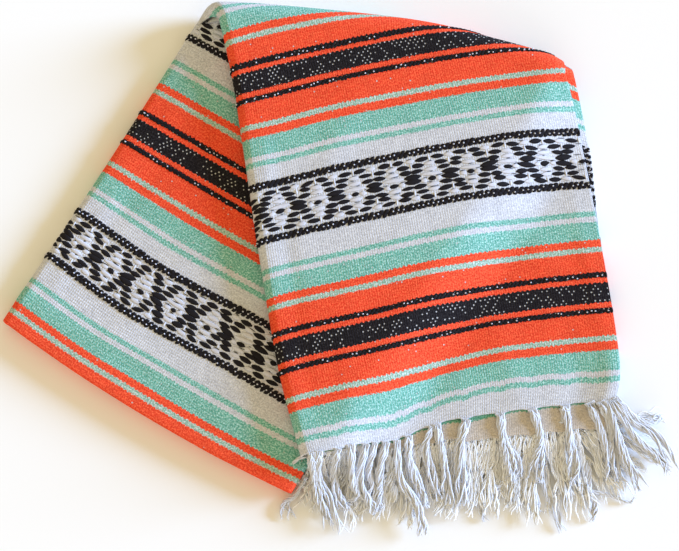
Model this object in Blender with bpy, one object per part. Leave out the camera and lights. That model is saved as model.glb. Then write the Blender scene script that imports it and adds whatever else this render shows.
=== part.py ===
"""Mexican serape, folded: a striped falsa blanket with fringed ends.

The blanket is doubled crosswise, folded twice along its length into a strip of eight
layers, and the strip is then folded over at a slant. It lies flat: the lower run goes
down to the left, and the front run lies on it with its hem and fringe towards -Y.
Units are metres, +Z is up, and the origin is the middle of the bounding box's base.
"""
import math

import bmesh
import bpy
import numpy as np
from mathutils import Matrix, Vector

MM = 0.001

# ---- driving dimensions ----
LAYER = 2.2 * MM            # one layer of cloth
GAP = 0.3 * MM              # space between neighbouring solids
PITCH = LAYER + GAP
LAYERS = 8                  # layers in each stack
STACK = LAYERS * PITCH - GAP
DRAPE = 80 * MM             # run over which the front stack sinks off the lower run
LOOSE_LEFT = 7 * MM         # how far the open left end of the top fold puffs up
LOOSE_RIGHT = 1 * MM
LOOSE_REACH = 60 * MM       # distance over which that puff dies away
ROLL = STACK / 2            # radius of the lengthwise fold on the left side
ROLL_ANGLES = (130, 100, 70, 35)      # degrees round that fold, from its lower lip
BEND_ANGLES = (30, 60, 90, 120, 150, 172)   # degrees round the slanted top fold
EDGE_ANGLES = (150, 100, 50)          # degrees round the crosswise fold
EDGE_ROLL = PITCH           # radius of the crosswise fold of one pair of layers
INNER_BEND = 1.5 * MM       # radius left open inside the top fold
BASE_INSET = 3 * MM         # the underside's edge, in from the rolls above it
CORNER_ROUND = 5 * MM       # rounding of the hidden layers at the lower left corner
CORE_STEP = 2 * MM          # the most that the front's hidden layers stand out
HEM_MARGIN = 0.5 * MM       # the least that the second hem shows past the first
FLAT_COLUMNS = 16
FRONT_ROWS = 20
BACK_ROWS = 14
FRONT_BOW = 8 * MM          # how far the front's stripes arch towards the fold
BACK_BOW = -9 * MM          # how far the crosswise fold sags
BACK_BOW_REACH = 300 * MM   # distance over which that sag dies away
LONGEST_RUN = 700 * MM      # no run of the strip is longer than this
CUT_BELOW = 10 * MM         # how far the cutter reaches under the surface
FRINGE_ROWS = 6
FRINGE_PITCH = 1.15 * PITCH  # drop from one fringe to the next, measured straight down
TIP_HEIGHT = 9 * MM         # height of the fringe pile at its tips

# ---- outlines seen from above, in millimetres: x, y ----
FRONT_LEFT = ((-41, -204), (-66, -107), (-89, 25), (-118, 208), (-138, 300))
FRONT_RIGHT = ((296, -139), (301, -99), (289, 9), (266, 161), (245, 245))
BACK_LEFT = ((-366, -54), (-259, 124), (-153, 309))
BACK_RIGHT = ((-53, -241), (97, 4), (246, 248))
TOP_FOLD = ((-170, 311), (-126, 312), (-45, 306), (91, 290), (181, 267), (246, 246),
            (290, 230))

# across the strip (0 left, 1 right), how far the second layer hangs below the first, mm
SECOND_HEM = ((0.0, 0), (0.15, 0), (0.35, 13), (0.55, 25), (1.0, 28))
# up the strip from the hem, mm; how far the second layer stands out on the right, mm
SECOND_SIDE = ((0, 3), (200, 3), (300, 8), (350, 10), (390, 13))
# across the strip, then the fringe's reach: x, y in mm
FRINGE_REACH = ((0.0, -37, -268), (0.13, 1, -277), (0.32, 64, -270), (0.5, 125, -275),
                (0.68, 190, -272), (0.8, 240, -280), (0.9, 296, -262), (0.96, 350, -212),
                (1.0, 354, -148))
# stack side: fraction of the depth, how far the layers stand out, mm
STEPPED_SIDE = ((0.0, -1.5), (0.25, 1.5), (0.5, -1.5), (0.75, 2.0), (1.0, -1.0))
# crosswise fold of the lower run: fraction of the depth, how far in each folded pair lies, mm
CROSS_SIDE = ((0.0, 5.0), (0.17, 4.6), (0.33, 0.6), (0.5, 2.4), (0.67, 0.6), (0.83, 2.4),
              (1.0, 1.2))

# name: base colour, roughness
MATERIALS = {
    "front_panel": ((0.90, 0.16, 0.05), 0.9),
    "second_layer": ((0.80, 0.79, 0.82), 0.9),
    "front_core": ((0.40, 0.70, 0.55), 0.9),
    "back_panel": ((0.75, 0.74, 0.76), 0.9),
    "back_core": ((0.85, 0.15, 0.05), 0.9),
    "base_panel": ((0.35, 0.65, 0.50), 0.9),
    "front_fringe": ((0.82, 0.81, 0.84), 0.95),
    "second_fringe": ((0.76, 0.74, 0.74), 0.95),
    "under_fringe": ((0.70, 0.68, 0.66), 0.95),
}


# ---- outlines ----
def smooth_line(points, steps=12):
    """A smooth line (Catmull-Rom) through outline points given in millimetres."""
    p = [Vector(q).to_2d() * MM for q in points]
    p = [2 * p[0] - p[1], *p, 2 * p[-1] - p[-2]]
    line = []
    for a, b, c, d in zip(p, p[1:], p[2:], p[3:]):
        for step in range(steps):
            t = step / steps
            line.append(0.5 * (2 * b + (c - a) * t + (2 * a - 5 * b + 4 * c - d) * t ** 2
                               + (3 * b - a - 3 * c + d) * t ** 3))
    line.append(p[-2])
    return line


def along(line, distance):
    """The point at a distance along a line, which runs straight on past its ends."""
    for a, b in zip(line, line[1:]):
        length = (b - a).length
        if distance <= length or b is line[-1]:
            return a + (b - a) * (distance / length)
        distance -= length


def table_value(table, x, column=1):
    """Linear interpolation in a short table whose first column is x."""
    return float(np.interp(x, [row[0] for row in table], [row[column] for row in table]))


def ease(t):
    t = min(max(t, 0.0), 1.0)
    return t * t * (3 - 2 * t)


LEFT, RIGHT = smooth_line(FRONT_LEFT), smooth_line(FRONT_RIGHT)
LOW_LEFT, LOW_RIGHT = smooth_line(BACK_LEFT), smooth_line(BACK_RIGHT)
FOLD = smooth_line(TOP_FOLD)


def fold_normal(x):
    """The top fold's line at x: its y, and the level direction straight out of it."""
    for a, b in zip(FOLD, FOLD[1:]):
        if x <= b.x or b is FOLD[-1]:
            run = (b - a).normalized()
            return a.y + (b.y - a.y) * (x - a.x) / (b.x - a.x), Vector((-run.y, run.x))


def to_fold(point):
    """Distance from a point to the top fold's outermost line."""
    y, normal = fold_normal(point.x)
    return (y - point.y) * normal.y


def past_low_edge(point):
    """Distance to the right of the lower run's right edge, negative over the run."""
    a, b = LOW_RIGHT[0], LOW_RIGHT[-1]
    run = (b - a).normalized()
    return (point - a).dot(Vector((run.y, -run.x)))


def on_strip(left, right, bow, across, up):
    """A point of a run: across in metres from its left edge, up in metres from its end."""
    start, end = along(left, up), along(right, up)
    width = (end - start).length
    toward = (end - start) / width
    share = across / width
    arch = bow * 4 * share * (1 - share) if 0 < share < 1 else 0.0
    return start + toward * across + Vector((-toward.y, toward.x)) * arch


def width_at(left, right, up):
    return (along(right, up) - along(left, up)).length


def looseness(share):
    """How far the top fold puffs up at a share of its width."""
    return LOOSE_LEFT + (LOOSE_RIGHT - LOOSE_LEFT) * share


def fold_height(share):
    return STACK * 2 + GAP + looseness(share)


def front_height(point, across_share):
    """Top of the front stack: two stacks high over the lower run, one beyond it."""
    height = STACK * 2 + GAP - (STACK + GAP) * ease(past_low_edge(point) / DRAPE)
    from_bend = max(to_fold(point) - fold_height(across_share) / 2, 0)
    return height + looseness(across_share) * math.exp(-from_bend / LOOSE_REACH)


def run_to_fold(left, right, bow, share, inward, inset):
    """How far up a run its column at this share of the width meets the fold line."""
    low, high = 0.0, LONGEST_RUN
    for _ in range(30):
        up = (low + high) / 2
        across = share * width_at(left, right, up) + inward
        if to_fold(on_strip(left, right, bow, across, up)) > inset:
            low = up
        else:
            high = up
    return low


def low_run_place(across, up, level):
    """A point of the lower run, whose stripes sag less and less towards the top fold."""
    bow = BACK_BOW * (1 - ease(up / BACK_BOW_REACH))
    spot = on_strip(LOW_LEFT, LOW_RIGHT, bow, across, up)
    return Vector((spot.x, spot.y, level))


# ---- surfaces, as grids of points ----
def normals_of(grid):
    """Outward normals of a grid of points, columns first, rows second."""
    along_columns, along_rows = np.gradient(grid, axis=0), np.gradient(grid, axis=1)
    normal = np.cross(along_columns, along_rows)
    return normal / np.linalg.norm(normal, axis=2, keepdims=True)


def front_surface():
    """Outer surface of the front run, with its left roll and the top fold.

    The second grid is the axis that each column turns about in the top fold.
    """
    columns = roll_columns()
    grid, axes = [], []
    for share, inward, drop in columns:
        middle = fold_height(share) / 2
        reach = run_to_fold(LEFT, RIGHT, FRONT_BOW, share, inward, middle)
        points = []
        for row in range(FRONT_ROWS + 1):
            up = reach * row / FRONT_ROWS
            across = share * width_at(LEFT, RIGHT, up) + inward
            spot = on_strip(LEFT, RIGHT, FRONT_BOW, across, up)
            points.append((spot.x, spot.y, front_height(spot, share) - drop))
        upper = spot
        low_up = low_reach(share, inward)
        low_across = share * width_at(LOW_LEFT, LOW_RIGHT, low_up) + inward
        lower = on_strip(LOW_LEFT, LOW_RIGHT, 0.0, low_across, low_up)
        radius = points[-1][2] - middle
        axis = [(upper.x, upper.y, middle)]
        for angle in BEND_ANGLES:
            turn = math.radians(angle)
            centre = upper.lerp(lower, turn / math.pi)
            spot = centre + fold_normal(centre.x)[1] * radius * math.sin(turn)
            points.append((spot.x, spot.y, middle + radius * math.cos(turn)))
            axis.append((centre.x, centre.y, middle))
        grid.append(points)
        axes.append(axis)
    return np.array(grid), np.array(axes)


def roll_columns():
    """Columns of a stack's face: share of the width, distance inward, drop below the face."""
    columns = []
    for angle in ROLL_ANGLES:
        turn = math.radians(angle)
        columns.append((0.0, ROLL * (1 - math.sin(turn)), ROLL * (1 - math.cos(turn))))
    shares = [i / FLAT_COLUMNS for i in range(FLAT_COLUMNS + 1)]
    return columns + [(share, ROLL * (1 - share), 0.0) for share in shares]


def back_surface():
    """Upper face of the lower run, with its left roll and its crosswise fold."""
    grid = []
    for share, inward, drop in roll_columns():
        reach = low_reach(share, inward)
        rows = [EDGE_ROLL + (reach - EDGE_ROLL) * row / BACK_ROWS
                for row in range(BACK_ROWS + 1)]
        grid.append([low_run_place(share * width_at(LOW_LEFT, LOW_RIGHT, up) + inward, up,
                                   STACK - drop) for up in rows])
    grid = np.array(grid)
    normals = normals_of(grid)
    first, normal = grid[:, 0], normals[:, 0]
    outward = first - grid[:, 1]
    outward /= np.linalg.norm(outward, axis=1, keepdims=True)
    rolled = [first + outward * EDGE_ROLL * math.sin(math.radians(angle))
              - normal * EDGE_ROLL * (1 - math.cos(math.radians(angle)))
              for angle in EDGE_ANGLES]
    return np.concatenate([np.stack(rolled, axis=1), grid], axis=1)


def low_reach(share, inward=0.0):
    """Length of a column of the lower run, from its crosswise fold to the top fold."""
    middle = fold_height(share) / 2
    return run_to_fold(LOW_LEFT, LOW_RIGHT, 0.0, share, inward, middle)


# ---- solids ----
def block(name, columns, rows, depths, place):
    """A closed slab: a flat grid is extruded, then each corner is put in its place.

    place(column, row, depth) gives a corner's position from its three counts.
    """
    mesh = bpy.data.meshes.new(name)
    bm = bmesh.new()
    spread = Matrix.Translation((columns / 2, rows / 2, 0)) @ Matrix.Diagonal(
        (columns, rows, 1, 1))
    bmesh.ops.create_grid(bm, x_segments=columns, y_segments=rows, size=0.5, matrix=spread)
    lower = bmesh.ops.extrude_face_region(bm, geom=bm.faces[:])["geom"]
    bmesh.ops.translate(bm, vec=(0, 0, -depths),
                        verts=[v for v in lower if isinstance(v, bmesh.types.BMVert)])
    walls = [e for e in bm.edges if abs(e.verts[0].co.z - e.verts[1].co.z) > 0.5]
    if depths > 1:
        bmesh.ops.subdivide_edges(bm, edges=walls, cuts=depths - 1, use_grid_fill=True)
    for vert in bm.verts:
        vert.co = place(round(vert.co.x), round(vert.co.y), round(-vert.co.z))
    bmesh.ops.recalc_face_normals(bm, faces=bm.faces[:])
    bm.to_mesh(mesh)
    bm.free()
    obj = bpy.data.objects.new(name, mesh)
    bpy.context.scene.collection.objects.link(obj)
    if name in MATERIALS:
        mesh.materials.append(cloth_material(name))
    return obj


def cloth_material(name):
    colour, roughness = MATERIALS[name]
    material = bpy.data.materials.new(name)
    material.use_nodes = True
    surface = material.node_tree.nodes["Principled BSDF"]
    surface.inputs["Base Color"].default_value = (*colour, 1)
    surface.inputs["Roughness"].default_value = roughness
    return material


def sheet(name, grid):
    """A wall one layer thick, whose outer face is a grid of points."""
    normals = normals_of(grid)
    columns, rows = grid.shape[0] - 1, grid.shape[1] - 1
    return block(name, columns, rows, 1, lambda i, j, k: Vector(
        grid[i, j] - normals[i, j] * k * LAYER))


def stepped(fraction):
    """How far the layered side of a stack stands out at a fraction of its depth."""
    return table_value(STEPPED_SIDE, fraction) * MM


# ---- the front run ----
def make_second_layer(grid):
    """The layer under the first, with its selvedge and hem set further out."""
    first = len(ROLL_ANGLES)
    last_row = FRONT_ROWS + 3
    flat = grid[first:, :last_row + 1]
    normals = normals_of(grid)[first:, :last_row + 1]
    inner = flat - normals * PITCH
    sideways = inner[-1] - inner[-2]
    sideways /= np.linalg.norm(sideways, axis=1, keepdims=True)
    ups = np.linalg.norm(inner[-1] - inner[-1, 0], axis=1) / MM
    out = np.array([table_value(SECOND_SIDE, up) for up in ups])[:, None] * MM
    wide = np.concatenate([inner, (inner[-1] + sideways * out)[None]], axis=0)
    down = wide[:, 0] - wide[:, 1]
    down /= np.linalg.norm(down, axis=1, keepdims=True)
    shares = [min(i / FLAT_COLUMNS, 1.0) for i in range(FLAT_COLUMNS + 2)]
    hang = np.array([table_value(SECOND_HEM, share) * MM + HEM_MARGIN for share in shares])
    extra = wide[:, 0] + down * hang[:, None]
    return sheet("second_layer", np.concatenate([extra[:, None], wide], axis=1))


def make_front_core(grid, axes):
    """Hidden layers of the front stack, with the inside of the top fold."""
    first = len(ROLL_ANGLES)
    flat, axes = grid[first:], axes[first:]
    columns, rows, depths = flat.shape[0] - 1, flat.shape[1] - 1, 4
    top = flat - normals_of(grid)[first:] * PITCH * 2
    sideways = flat[1] - flat[0]
    sideways /= np.linalg.norm(sideways, axis=1, keepdims=True)
    hemward = top[:, 0] - top[:, 1]
    hemward /= np.linalg.norm(hemward, axis=1, keepdims=True)

    def place(i, j, k):
        fraction = k / depths
        point = Vector(top[i, j])
        if j < FRONT_ROWS:
            floor = Vector((point.x, point.y, 0.0))
        else:
            axis = Vector(axes[i, j - FRONT_ROWS])
            floor = axis + (point - axis).normalized() * INNER_BEND
        spot = point.lerp(floor, fraction)
        if i == 0:
            spot -= Vector(sideways[j]) * (ROLL - PITCH * 2) * math.sin(math.pi * fraction)
        elif i == columns:
            spot += Vector(sideways[j]) * stepped(fraction)
        if j == 0:
            spot += Vector(hemward[i]) * stepped(fraction)
        return spot

    return block("front_core", columns, rows, depths, place)


# ---- the lower run ----
def low_place(share, left, right, up, level):
    """A point of the lower run, its left and right sides brought in by insets."""
    width = width_at(LOW_LEFT, LOW_RIGHT, up)
    return low_run_place(left + share * (width - left - right), up, level)


def low_column(share, left, right):
    """Length of a column of the lower run whose sides are brought in by insets."""
    return low_reach(share, left * (1 - share) - right * share)


def make_back_core():
    """Hidden layers of the lower run: a round left fold, and layers showing elsewhere."""
    columns, rows, depths = 12, 10, 6
    top, bottom = STACK - PITCH, PITCH
    radius = ROLL - PITCH - 1.2 * MM

    def place(i, j, k):
        fraction = k / depths
        share = i / columns
        level = top + (bottom - top) * fraction
        left = ROLL - radius * math.sqrt(1 - (1 - 2 * fraction) ** 2)
        right = table_value(CROSS_SIDE, fraction) * MM
        corner = CORNER_ROUND if i == 0 and j == 0 else 0.0
        up = right + corner + (low_column(share, left, right) - GAP - right) * j / rows
        return low_place(share, left, right, up, level)

    return block("back_core", columns, rows, depths, place)


def make_base_panel():
    """The outermost layer where it lies on the surface, below the lower run."""
    columns, rows = 12, 10

    def place(i, j, k):
        share = i / columns
        column = low_column(share, BASE_INSET, BASE_INSET)
        up = BASE_INSET + (column - GAP - BASE_INSET) * j / rows
        return low_place(share, BASE_INSET, BASE_INSET, up, LAYER * (1 - k))

    return block("base_panel", columns, rows, 1, place)


def make_low_run_cutter():
    """The space of the lower run and its gap, cut from whatever lies on it."""
    columns, rows = 16, 14

    def place(i, j, k):
        share = i / columns
        up = -GAP * 2 + (low_column(share, -GAP * 2, -GAP * 2) + GAP * 3) * j / rows
        return low_place(share, -GAP * 2, -GAP * 2, up, STACK + GAP if k == 0 else -CUT_BELOW)

    cutter = block("low_run_cutter", columns, rows, 1, place)
    cutter.hide_render = True
    cutter.display_type = "WIRE"
    return cutter


def cut_away(obj, cutter):
    modifier = obj.modifiers.new("clear of the lower run", "BOOLEAN")
    modifier.operation = "DIFFERENCE"
    modifier.solver = "EXACT"
    modifier.object = cutter


# ---- fringe ----
def hem_point(grid, column, hang):
    """A point of the front hem, let down by a distance along the slope of the cloth."""
    hem, inner = (Vector(grid[len(ROLL_ANGLES) + column, row]) for row in (0, 1))
    return hem + (hem - inner).normalized() * hang


def make_fringe(name, grid, layer):
    """One hem's fringe: layer 0 is the outermost, 1 the second, 2 the pile below."""
    def place(i, j, k):
        share = i / FLAT_COLUMNS
        second_hem = table_value(SECOND_HEM, share) * MM + HEM_MARGIN
        if j == 0:
            spot = hem_point(grid, i, GAP + (0.0, second_hem, CORE_STEP)[layer])
        else:
            spot = hem_point(grid, i, second_hem + CORE_STEP + GAP * 2)
            tip = Vector((table_value(FRINGE_REACH, share) * MM,
                          table_value(FRINGE_REACH, share, 2) * MM, TIP_HEIGHT))
            run = (j - 1) / FRINGE_ROWS
            height = spot.z + (tip.z - spot.z) * ease(run)
            spot = spot.lerp(tip, run)
            spot.z = height
        spot.z -= layer * FRINGE_PITCH + k * LAYER
        if layer == 2 and k == 1:
            spot.z = 0.0
        return spot

    return block(name, FLAT_COLUMNS, FRINGE_ROWS + 1, 1, place)


# ---- assembly ----
def evaluated_corners(objects):
    graph = bpy.context.evaluated_depsgraph_get()
    corners = []
    for obj in objects:
        mesh = obj.evaluated_get(graph).to_mesh()
        corners += [vert.co.copy() for vert in mesh.vertices]
    return np.array(corners)


def centre_on_base(objects, cutter):
    """Move everything so that the origin is the middle of the whole object's base."""
    corners = evaluated_corners(objects)
    low, high = corners.min(axis=0), corners.max(axis=0)
    shift = Vector((-(low[0] + high[0]) / 2, -(low[1] + high[1]) / 2, -low[2]))
    for obj in [*objects, cutter]:
        obj.data.transform(Matrix.Translation(shift))
    print("origin moved by", tuple(round(v, 5) for v in shift))


def build():
    for obj in list(bpy.data.objects):
        bpy.data.objects.remove(obj, do_unlink=True)
    front, axes = front_surface()
    back = back_surface()
    cutter = make_low_run_cutter()
    core = make_front_core(front, axes)
    pile = make_fringe("under_fringe", front, 2)
    for obj in (core, pile):
        cut_away(obj, cutter)
    objects = [sheet("front_panel", front), make_second_layer(front), core,
               sheet("back_panel", back), make_back_core(), make_base_panel(),
               make_fringe("front_fringe", front, 0), make_fringe("second_fringe", front, 1),
               pile]
    centre_on_base(objects, cutter)


build()
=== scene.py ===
# %% [markdown]
# # A folded serape
# A serape of this kind, a falsa blanket, is one long piece of thick cotton weaving: bright
# stripes, bands of small black figures, and a knotted fringe at each end. It is doubled
# crosswise, folded twice lengthwise into a strip of eight layers, and the strip is folded
# over once more at a slant. The CAD part has the size and place of every stretch of cloth.
# This script gives each stretch its woven look, layer by layer, on the same form.

import math
from functools import partial

import bmesh
import bpy
import numpy as np
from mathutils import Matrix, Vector


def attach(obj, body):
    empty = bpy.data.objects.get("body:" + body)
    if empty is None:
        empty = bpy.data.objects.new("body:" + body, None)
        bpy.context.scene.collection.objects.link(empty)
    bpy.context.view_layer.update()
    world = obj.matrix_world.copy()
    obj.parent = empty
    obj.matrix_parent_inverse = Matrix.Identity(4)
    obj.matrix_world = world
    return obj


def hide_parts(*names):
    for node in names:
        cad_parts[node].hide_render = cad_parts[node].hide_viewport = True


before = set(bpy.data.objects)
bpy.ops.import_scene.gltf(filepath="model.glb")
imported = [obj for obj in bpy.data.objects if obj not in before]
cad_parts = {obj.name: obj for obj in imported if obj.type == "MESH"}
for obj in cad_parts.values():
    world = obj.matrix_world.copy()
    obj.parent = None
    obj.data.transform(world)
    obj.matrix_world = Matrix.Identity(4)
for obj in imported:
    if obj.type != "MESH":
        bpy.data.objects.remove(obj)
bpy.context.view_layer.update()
MM = 0.001

# %% [markdown]
# ## The strip's outline
# The blanket was folded before it was laid down, so its outline is all that has to be
# drawn: a left and a right edge for the front run, the same for the lower run, and the
# line of the slanted fold between them. Each is a smooth curve through a few points, in
# millimetres seen from above, and everything else is measured along these curves. The
# picks of a stripe then follow the cloth, whichever way the run turns.

# %% Outlines of both runs
FRONT_LEFT = ((-41, -204), (-66, -107), (-89, 25), (-118, 208), (-138, 300))
FRONT_RIGHT = ((296, -139), (301, -99), (289, 9), (266, 161), (245, 245))
LOWER_LEFT = ((-366, -54), (-259, 124), (-153, 309))
LOWER_RIGHT = ((-53, -241), (97, 4), (246, 248))
TOP_FOLD = ((-170, 311), (-126, 312), (-45, 306), (91, 290), (181, 267), (246, 246),
            (290, 230))
# the CAD part was centred on its own box once it was made, which moved it by this much
CENTRING = Vector((5.41, -17.05, 0.0)) * MM
MIDWAY = 0.2                # metres up a run, where its width is taken


def smooth_line(points, steps=12):
    """A smooth line (Catmull-Rom) through outline points given in millimetres."""
    p = [Vector(q) * MM + CENTRING.to_2d() for q in points]
    p = [2 * p[0] - p[1], *p, 2 * p[-1] - p[-2]]
    line = []
    for a, b, c, d in zip(p, p[1:], p[2:], p[3:]):
        for step in range(steps):
            t = step / steps
            line.append(0.5 * (2 * b + (c - a) * t + (2 * a - 5 * b + 4 * c - d) * t ** 2
                               + (3 * b - a - 3 * c + d) * t ** 3))
    line.append(p[-2])
    return line


def along(line, distance):
    """The point at a distance along a line, which runs straight on past its ends."""
    for a, b in zip(line, line[1:]):
        length = (b - a).length
        if distance <= length or b is line[-1]:
            return a + (b - a) * (distance / length)
        distance -= length


front_sides = smooth_line(FRONT_LEFT), smooth_line(FRONT_RIGHT)
lower_sides = smooth_line(LOWER_LEFT), smooth_line(LOWER_RIGHT)
fold_line = smooth_line(TOP_FOLD)


def width_at(sides, up):
    return (along(sides[1], up) - along(sides[0], up)).length


def on_strip(sides, arch, share, inward, up):
    """A point of a run: at a share of its width and then inward, and up from its end."""
    start, end = along(sides[0], up), along(sides[1], up)
    width = (end - start).length
    toward = (end - start) / width
    across = share * width + inward
    part = min(max(across / width, 0.0), 1.0)
    lift = arch * 4 * part * (1 - part)
    return start + toward * across + Vector((-toward.y, toward.x)) * lift


print("strip widths in mm:", round(width_at(front_sides, 0) / MM),
      round(width_at(lower_sides, 0) / MM))

# %% [markdown]
# ## Thickness and height
# Eight layers of this cloth make a stack about 20 mm high, and the front run lies on the
# lower one, so it is two stacks high at the left and sinks to one stack past the lower
# run's edge. The cloth on top is loose: it puffs up where the strip turns over. These
# heights are worked out from the thickness of one layer.

# %% Heights of the stacks
LAYER = 2.2 * MM
GAP = 0.3 * MM
PITCH = LAYER + GAP
STACK = 8 * PITCH - GAP
ROLL = STACK / 2            # radius of the lengthwise fold at the left
DRAPE = 80 * MM             # run over which the front sinks off the lower run
PUFF_LEFT, PUFF_RIGHT, PUFF_REACH = 7 * MM, 1 * MM, 60 * MM
FRONT_ARCH, LOWER_ARCH = 8 * MM, -9 * MM
LOWER_ARCH_REACH = 300 * MM
EDGE_ROLL = PITCH           # radius of the crosswise fold of one pair of layers
LONGEST_RUN = 0.7           # metres; no column of a run is longer


def ease(t):
    """A smooth step from 0 to 1, for a number or an array."""
    t = np.clip(t, 0.0, 1.0)
    return t * t * (3 - 2 * t)


def fold_normal(x):
    """The top fold's line at x: its y, and the level direction straight out of it."""
    for a, b in zip(fold_line, fold_line[1:]):
        if x <= b.x or b is fold_line[-1]:
            run = (b - a).normalized()
            return a.y + (b.y - a.y) * (x - a.x) / (b.x - a.x), Vector((-run.y, run.x))


def to_fold(point):
    """How far a point is from the line of the top fold."""
    y, normal = fold_normal(point.x)
    return (y - point.y) * normal.y


def puff(share):
    return PUFF_LEFT + (PUFF_RIGHT - PUFF_LEFT) * share


def fold_height(share):
    return STACK * 2 + GAP + puff(share)


def front_height(point, share):
    """Height of the front's face: two stacks high, or one past the lower run's edge."""
    a, b = lower_sides[1][0], lower_sides[1][-1]
    run = (b - a).normalized()
    past_edge = (point - a).dot(Vector((run.y, -run.x)))
    height = STACK * 2 + GAP - (STACK + GAP) * ease(past_edge / DRAPE)
    from_bend = max(to_fold(point) - fold_height(share) / 2, 0)
    return height + puff(share) * math.exp(-from_bend / PUFF_REACH)


def run_to_fold(sides, arch, share, inward):
    """How far up a run its column at this share of the width meets the top fold."""
    low, high = 0.0, LONGEST_RUN
    for _ in range(30):
        up = (low + high) / 2
        spot = on_strip(sides, arch, share, inward, up)
        if to_fold(spot) > fold_height(share) / 2:
            low = up
        else:
            high = up
    return low


print("one stack:", round(STACK / MM, 1), "mm; both:", round(fold_height(1) / MM, 1), "mm")

# %% [markdown]
# ## Cloth as a grid of points
# Each stretch of cloth is a grid of points with two woven measures: u, how far across the
# cloth, and v, how far along it. Yarn that lies on the cloth needs the point and the
# outward direction at any u and v, so the grid can be read between its points. A layer of
# cloth is then a flat bmesh grid, extruded to a thickness, whose corners are put on those
# points. Its UV map keeps u and v, so stripes and weave follow the cloth round each fold.

# %% The cloth grid
def unit(vectors):
    """The same directions, each with a length of one."""
    return vectors / np.linalg.norm(vectors, axis=-1, keepdims=True)


def normals_of(points):
    """Outward normals of a grid of points, columns first, rows second."""
    return unit(np.cross(np.gradient(points, axis=0), np.gradient(points, axis=1)))


def look_up(table, x):
    """What a table of pairs says at x; it gives millimetres, and the answer is in metres."""
    return np.interp(x, *zip(*table)) * MM


class Cloth:
    """Points of one stretch of cloth, with its measures u (per column) and v (per point)."""

    def __init__(self, u, v, points):
        self.u, self.v = np.array(u), np.array(v)
        self.points = np.array(points)
        self.normals = normals_of(self.points)

    def at(self, u, v):
        """Points and normals at arrays of u and v."""
        column = np.clip(np.interp(u, self.u, np.arange(len(self.u))), 0, len(self.u) - 1.001)
        i = column.astype(int)
        share = (column - i)[:, None]
        lines = self.v[i] * (1 - share) + self.v[i + 1] * share
        j = np.clip((lines <= v[:, None]).sum(axis=1) - 1, 0, self.v.shape[1] - 2)
        each = np.arange(len(j))
        step = ((v - lines[each, j]) / (lines[each, j + 1] - lines[each, j]))[:, None]
        read = [(g[i, j] * (1 - share) + g[i + 1, j] * share) * (1 - step)
                + (g[i, j + 1] * (1 - share) + g[i + 1, j + 1] * share) * step
                for g in (self.points, self.normals)]
        return read[0], read[1]


# %% Points of the front run
ROLL_TURN = 140             # degrees that the left edge is rolled under
ROLL_STEPS = 16
FACE_STEPS = 118            # columns across the flat of a run
FOLD_TURN = 172             # degrees that the front turns over its top fold
HEM_TO_FOLD_ROWS, FOLD_ROWS = 150, 20


def roll_columns(flat_steps):
    """Columns of a stack's face: u, share of the width, distance inward, drop."""
    columns = []
    for step in range(ROLL_STEPS):
        turn = math.radians(ROLL_TURN) * (1 - step / ROLL_STEPS)
        columns.append((-ROLL * turn, 0.0, ROLL * (1 - math.sin(turn)),
                        ROLL * (1 - math.cos(turn))))
    width = width_at(front_sides, MIDWAY)
    for step in range(flat_steps + 1):
        share = step / flat_steps
        columns.append(((width - ROLL) * share, share, ROLL * (1 - share), 0.0))
    return columns


def front_run(columns, rows, bend_rows):
    """The outer face of the front run, and the axis that its top fold turns about."""
    lines, axes, lengths = [], [], []
    for _, share, inward, drop in columns:
        middle = fold_height(share) / 2
        reach = run_to_fold(front_sides, FRONT_ARCH, share, inward)
        v = [reach * row / rows for row in range(rows + 1)]
        points = []
        for up in v:
            spot = on_strip(front_sides, FRONT_ARCH, share, inward, up)
            points.append((spot.x, spot.y, front_height(spot, share) - drop))
        low_up = run_to_fold(lower_sides, 0.0, share, inward)
        lower = on_strip(lower_sides, 0.0, share, inward, low_up)
        radius = points[-1][2] - middle
        axis = []
        for row in range(1, bend_rows + 1):
            turn = math.radians(FOLD_TURN) * row / bend_rows
            centre = spot.lerp(lower, turn / math.pi)
            out = centre + fold_normal(centre.x)[1] * radius * math.sin(turn)
            points.append((out.x, out.y, middle + radius * math.cos(turn)))
            axis.append((centre.x, centre.y, middle))
            v.append(reach + radius * turn)
        lines.append(points)
        axes.append(axis)
        lengths.append(v)
    return Cloth([c[0] for c in columns], lengths, lines), np.array(axes)


front, _ = front_run(roll_columns(FACE_STEPS), HEM_TO_FOLD_ROWS, FOLD_ROWS)
print("front run:", front.points.shape[:2], "points, longest column",
      round(front.v.max() / MM), "mm")

# %% Points of the lower run
EDGE_TURN = 165             # degrees that the crosswise fold turns under
LOWER_ROWS, EDGE_ROWS = 130, 10


def lower_place(share, inward, up, level):
    """A point of the lower run, whose stripes sag less and less towards the top fold."""
    arch = LOWER_ARCH * (1 - ease(up / LOWER_ARCH_REACH))
    spot = on_strip(lower_sides, arch, share, inward, up)
    return (spot.x, spot.y, level)


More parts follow.
